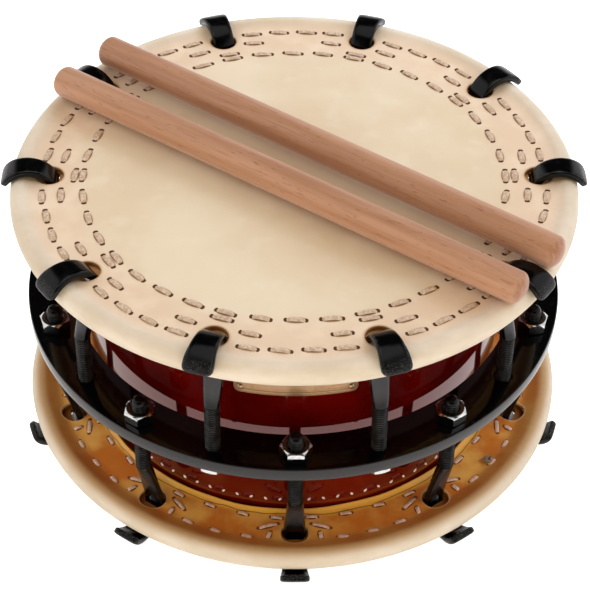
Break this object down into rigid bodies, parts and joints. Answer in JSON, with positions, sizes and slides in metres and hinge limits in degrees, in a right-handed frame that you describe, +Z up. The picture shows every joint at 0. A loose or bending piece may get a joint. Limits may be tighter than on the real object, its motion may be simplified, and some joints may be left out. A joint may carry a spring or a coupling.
{
  "type": "shime-daiko drum",
  "caption": "Bolt-tensioned shime-daiko: barrelled lacquered shell between stitched hide heads, drawn together by hook bolts through a mid flange, with drumsticks laid on top.",
  "frame": {"origin": "on the drum's axis, at the underside of the lower hooks on which the drum stands", "axes": "+Z up along the drum's axis; -Y towards the front, where the nameplate is"},
  "size_m": [0.3612, 0.3612, 0.203],
  "materials": {
    "red_lacquer": "deep maroon gloss lacquer on turned wood",
    "cow_hide": "dry cream rawhide, slightly mottled",
    "ring_iron": "plain dark round bar",
    "black_steel": "gloss black with worn edges",
    "bright_steel": "bright plated",
    "brass": "satin, bare",
    "beech": "smooth unvarnished beech with short flecks"
  },
  "bodies": {
    "drum": {"shell": "red_lacquer", "upper_head_skin": "cow_hide", "upper_head_ring": "ring_iron", "lower_head_skin": "cow_hide", "lower_head_ring": "ring_iron", "tension_flange": "black_steel", "nameplate": "brass", "nameplate_pin_1": "brass", "nameplate_pin_2": "brass", "nameplate_pin_3": "brass", "nameplate_pin_4": "brass"},
    "upper_nut_01": {"upper_nut_01": "bright_steel"},
    "upper_bolt_01": {"upper_hook_bolt_01": "black_steel"},
    "upper_nut_02": {"upper_nut_02": "bright_steel"},
    "upper_bolt_02": {"upper_hook_bolt_02": "black_steel"},
    "upper_nut_03": {"upper_nut_03": "bright_steel"},
    "upper_bolt_03": {"upper_hook_bolt_03": "black_steel"},
    "upper_nut_04": {"upper_nut_04": "bright_steel"},
    "upper_bolt_04": {"upper_hook_bolt_04": "black_steel"},
    "upper_nut_05": {"upper_nut_05": "bright_steel"},
    "upper_bolt_05": {"upper_hook_bolt_05": "black_steel"},
    "upper_nut_06": {"upper_nut_06": "bright_steel"},
    "upper_bolt_06": {"upper_hook_bolt_06": "black_steel"},
    "upper_nut_07": {"upper_nut_07": "bright_steel"},
    "upper_bolt_07": {"upper_hook_bolt_07": "black_steel"},
    "upper_nut_08": {"upper_nut_08": "bright_steel"},
    "upper_bolt_08": {"upper_hook_bolt_08": "black_steel"},
    "upper_nut_09": {"upper_nut_09": "bright_steel"},
    "upper_bolt_09": {"upper_hook_bolt_09": "black_steel"},
    "upper_nut_10": {"upper_nut_10": "bright_steel"},
    "upper_bolt_10": {"upper_hook_bolt_10": "black_steel"},
    "lower_nut_01": {"lower_nut_01": "bright_steel"},
    "lower_bolt_01": {"lower_hook_bolt_01": "black_steel"},
    "lower_nut_02": {"lower_nut_02": "bright_steel"},
    "lower_bolt_02": {"lower_hook_bolt_02": "black_steel"},
    "lower_nut_03": {"lower_nut_03": "bright_steel"},
    "lower_bolt_03": {"lower_hook_bolt_03": "black_steel"},
    "lower_nut_04": {"lower_nut_04": "bright_steel"},
    "lower_bolt_04": {"lower_hook_bolt_04": "black_steel"},
    "lower_nut_05": {"lower_nut_05": "bright_steel"},
    "lower_bolt_05": {"lower_hook_bolt_05": "black_steel"},
    "lower_nut_06": {"lower_nut_06": "bright_steel"},
    "lower_bolt_06": {"lower_hook_bolt_06": "black_steel"},
    "lower_nut_07": {"lower_nut_07": "bright_steel"},
    "lower_bolt_07": {"lower_hook_bolt_07": "black_steel"},
    "lower_nut_08": {"lower_nut_08": "bright_steel"},
    "lower_bolt_08": {"lower_hook_bolt_08": "black_steel"},
    "lower_nut_09": {"lower_nut_09": "bright_steel"},
    "lower_bolt_09": {"lower_hook_bolt_09": "black_steel"},
    "lower_nut_10": {"lower_nut_10": "bright_steel"},
    "lower_bolt_10": {"lower_hook_bolt_10": "black_steel"},
    "stick_front": {"drumstick_front": "beech"},
    "stick_back": {"drumstick_back": "beech"}
  },
  "joints": [
    {"name": "upper_nut_01_turn", "type": "hinge", "parent": "drum", "child": "upper_nut_01", "pos_m": [0.1572, 0, 0.0851], "axis": [0, 0, -1], "range_deg": [0, 902]},
    {"name": "upper_bolt_01_slide", "type": "slide", "parent": "drum", "child": "upper_bolt_01", "axis": [0, 0, 1], "range_m": [0, 0.00375]},
    {"name": "upper_nut_02_turn", "type": "hinge", "parent": "drum", "child": "upper_nut_02", "pos_m": [0.12718, 0.0924, 0.0851], "axis": [0, 0, -1], "range_deg": [0, 902]},
    {"name": "upper_bolt_02_slide", "type": "slide", "parent": "drum", "child": "upper_bolt_02", "axis": [0, 0, 1], "range_m": [0, 0.00375]},
    {"name": "upper_nut_03_turn", "type": "hinge", "parent": "drum", "child": "upper_nut_03", "pos_m": [0.04858, 0.14951, 0.0851], "axis": [0, 0, -1], "range_deg": [0, 902]},
    {"name": "upper_bolt_03_slide", "type": "slide", "parent": "drum", "child": "upper_bolt_03", "axis": [0, 0, 1], "range_m": [0, 0.00375]},
    {"name": "upper_nut_04_turn", "type": "hinge", "parent": "drum", "child": "upper_nut_04", "pos_m": [-0.04858, 0.14951, 0.0851], "axis": [0, 0, -1], "range_deg": [0, 902]},
    {"name": "upper_bolt_04_slide", "type": "slide", "parent": "drum", "child": "upper_bolt_04", "axis": [0, 0, 1], "range_m": [0, 0.00375]},
    {"name": "upper_nut_05_turn", "type": "hinge", "parent": "drum", "child": "upper_nut_05", "pos_m": [-0.12718, 0.0924, 0.0851], "axis": [0, 0, -1], "range_deg": [0, 902]},
    {"name": "upper_bolt_05_slide", "type": "slide", "parent": "drum", "child": "upper_bolt_05", "axis": [0, 0, 1], "range_m": [0, 0.00375]},
    {"name": "upper_nut_06_turn", "type": "hinge", "parent": "drum", "child": "upper_nut_06", "pos_m": [-0.1572, 0, 0.0851], "axis": [0, 0, -1], "range_deg": [0, 902]},
    {"name": "upper_bolt_06_slide", "type": "slide", "parent": "drum", "child": "upper_bolt_06", "axis": [0, 0, 1], "range_m": [0, 0.00375]},
    {"name": "upper_nut_07_turn", "type": "hinge", "parent": "drum", "child": "upper_nut_07", "pos_m": [-0.12718, -0.0924, 0.0851], "axis": [0, 0, -1], "range_deg": [0, 902]},
    {"name": "upper_bolt_07_slide", "type": "slide", "parent": "drum", "child": "upper_bolt_07", "axis": [0, 0, 1], "range_m": [0, 0.00375]},
    {"name": "upper_nut_08_turn", "type": "hinge", "parent": "drum", "child": "upper_nut_08", "pos_m": [-0.04858, -0.14951, 0.0851], "axis": [0, 0, -1], "range_deg": [0, 902]},
    {"name": "upper_bolt_08_slide", "type": "slide", "parent": "drum", "child": "upper_bolt_08", "axis": [0, 0, 1], "range_m": [0, 0.00375]},
    {"name": "upper_nut_09_turn", "type": "hinge", "parent": "drum", "child": "upper_nut_09", "pos_m": [0.04858, -0.14951, 0.0851], "axis": [0, 0, -1], "range_deg": [0, 902]},
    {"name": "upper_bolt_09_slide", "type": "slide", "parent": "drum", "child": "upper_bolt_09", "axis": [0, 0, 1], "range_m": [0, 0.00375]},
    {"name": "upper_nut_10_turn", "type": "hinge", "parent": "drum", "child": "upper_nut_10", "pos_m": [0.12718, -0.0924, 0.0851], "axis": [0, 0, -1], "range_deg": [0, 902]},
    {"name": "upper_bolt_10_slide", "type": "slide", "parent": "drum", "child": "upper_bolt_10", "axis": [0, 0, 1], "range_m": [0, 0.00375]},
    {"name": "lower_nut_01_turn", "type": "hinge", "parent": "drum", "child": "lower_nut_01", "pos_m": [0.14951, 0.04858, 0.1024], "axis": [0, 0, 1], "range_deg": [0, 902]},
    {"name": "lower_bolt_01_slide", "type": "slide", "parent": "drum", "child": "lower_bolt_01", "axis": [0, 0, -1], "range_m": [0, 0.00375]},
    {"name": "lower_nut_02_turn", "type": "hinge", "parent": "drum", "child": "lower_nut_02", "pos_m": [0.0924, 0.12718, 0.1024], "axis": [0, 0, 1], "range_deg": [0, 902]},
    {"name": "lower_bolt_02_slide", "type": "slide", "parent": "drum", "child": "lower_bolt_02", "axis": [0, 0, -1], "range_m": [0, 0.00375]},
    {"name": "lower_nut_03_turn", "type": "hinge", "parent": "drum", "child": "lower_nut_03", "pos_m": [0, 0.1572, 0.1024], "axis": [0, 0, 1], "range_deg": [0, 902]},
    {"name": "lower_bolt_03_slide", "type": "slide", "parent": "drum", "child": "lower_bolt_03", "axis": [0, 0, -1], "range_m": [0, 0.00375]},
    {"name": "lower_nut_04_turn", "type": "hinge", "parent": "drum", "child": "lower_nut_04", "pos_m": [-0.0924, 0.12718, 0.1024], "axis": [0, 0, 1], "range_deg": [0, 902]},
    {"name": "lower_bolt_04_slide", "type": "slide", "parent": "drum", "child": "lower_bolt_04", "axis": [0, 0, -1], "range_m": [0, 0.00375]},
    {"name": "lower_nut_05_turn", "type": "hinge", "parent": "drum", "child": "lower_nut_05", "pos_m": [-0.14951, 0.04858, 0.1024], "axis": [0, 0, 1], "range_deg": [0, 902]},
    {"name": "lower_bolt_05_slide", "type": "slide", "parent": "drum", "child": "lower_bolt_05", "axis": [0, 0, -1], "range_m": [0, 0.00375]},
    {"name": "lower_nut_06_turn", "type": "hinge", "parent": "drum", "child": "lower_nut_06", "pos_m": [-0.14951, -0.04858, 0.1024], "axis": [0, 0, 1], "range_deg": [0, 902]},
    {"name": "lower_bolt_06_slide", "type": "slide", "parent": "drum", "child": "lower_bolt_06", "axis": [0, 0, -1], "range_m": [0, 0.00375]},
    {"name": "lower_nut_07_turn", "type": "hinge", "parent": "drum", "child": "lower_nut_07", "pos_m": [-0.0924, -0.12718, 0.1024], "axis": [0, 0, 1], "range_deg": [0, 902]},
    {"name": "lower_bolt_07_slide", "type": "slide", "parent": "drum", "child": "lower_bolt_07", "axis": [0, 0, -1], "range_m": [0, 0.00375]},
    {"name": "lower_nut_08_turn", "type": "hinge", "parent": "drum", "child": "lower_nut_08", "pos_m": [0, -0.1572, 0.1024], "axis": [0, 0, 1], "range_deg": [0, 902]},
    {"name": "lower_bolt_08_slide", "type": "slide", "parent": "drum", "child": "lower_bolt_08", "axis": [0, 0, -1], "range_m": [0, 0.00375]},
    {"name": "lower_nut_09_turn", "type": "hinge", "parent": "drum", "child": "lower_nut_09", "pos_m": [0.0924, -0.12718, 0.1024], "axis": [0, 0, 1], "range_deg": [0, 902]},
    {"name": "lower_bolt_09_slide", "type": "slide", "parent": "drum", "child": "lower_bolt_09", "axis": [0, 0, -1], "range_m": [0, 0.00375]},
    {"name": "lower_nut_10_turn", "type": "hinge", "parent": "drum", "child": "lower_nut_10", "pos_m": [0.14951, -0.04858, 0.1024], "axis": [0, 0, 1], "range_deg": [0, 902]},
    {"name": "lower_bolt_10_slide", "type": "slide", "parent": "drum", "child": "lower_bolt_10", "axis": [0, 0, -1], "range_m": [0, 0.00375]},
    {"name": "stick_front_lift", "type": "slide", "parent": "drum", "child": "stick_front", "axis": [0, 0, 1], "range_m": [0, 0.12]},
    {"name": "stick_back_lift", "type": "slide", "parent": "drum", "child": "stick_back", "axis": [0, 0, 1], "range_m": [0, 0.12]}
  ],
  "couplings": [
    {"joint": "upper_nut_01_turn", "follows": "upper_bolt_01_slide", "rad_per_m": 4188.8},
    {"joint": "upper_nut_02_turn", "follows": "upper_bolt_02_slide", "rad_per_m": 4188.8},
    {"joint": "upper_nut_03_turn", "follows": "upper_bolt_03_slide", "rad_per_m": 4188.8},
    {"joint": "upper_nut_04_turn", "follows": "upper_bolt_04_slide", "rad_per_m": 4188.8},
    {"joint": "upper_nut_05_turn", "follows": "upper_bolt_05_slide", "rad_per_m": 4188.8},
    {"joint": "upper_nut_06_turn", "follows": "upper_bolt_06_slide", "rad_per_m": 4188.8},
    {"joint": "upper_nut_07_turn", "follows": "upper_bolt_07_slide", "rad_per_m": 4188.8},
    {"joint": "upper_nut_08_turn", "follows": "upper_bolt_08_slide", "rad_per_m": 4188.8},
    {"joint": "upper_nut_09_turn", "follows": "upper_bolt_09_slide", "rad_per_m": 4188.8},
    {"joint": "upper_nut_10_turn", "follows": "upper_bolt_10_slide", "rad_per_m": 4188.8},
    {"joint": "lower_nut_01_turn", "follows": "lower_bolt_01_slide", "rad_per_m": 4188.8},
    {"joint": "lower_nut_02_turn", "follows": "lower_bolt_02_slide", "rad_per_m": 4188.8},
    {"joint": "lower_nut_03_turn", "follows": "lower_bolt_03_slide", "rad_per_m": 4188.8},
    {"joint": "lower_nut_04_turn", "follows": "lower_bolt_04_slide", "rad_per_m": 4188.8},
    {"joint": "lower_nut_05_turn", "follows": "lower_bolt_05_slide", "rad_per_m": 4188.8},
    {"joint": "lower_nut_06_turn", "follows": "lower_bolt_06_slide", "rad_per_m": 4188.8},
    {"joint": "lower_nut_07_turn", "follows": "lower_bolt_07_slide", "rad_per_m": 4188.8},
    {"joint": "lower_nut_08_turn", "follows": "lower_bolt_08_slide", "rad_per_m": 4188.8},
    {"joint": "lower_nut_09_turn", "follows": "lower_bolt_09_slide", "rad_per_m": 4188.8},
    {"joint": "lower_nut_10_turn", "follows": "lower_bolt_10_slide", "rad_per_m": 4188.8}
  ]
}
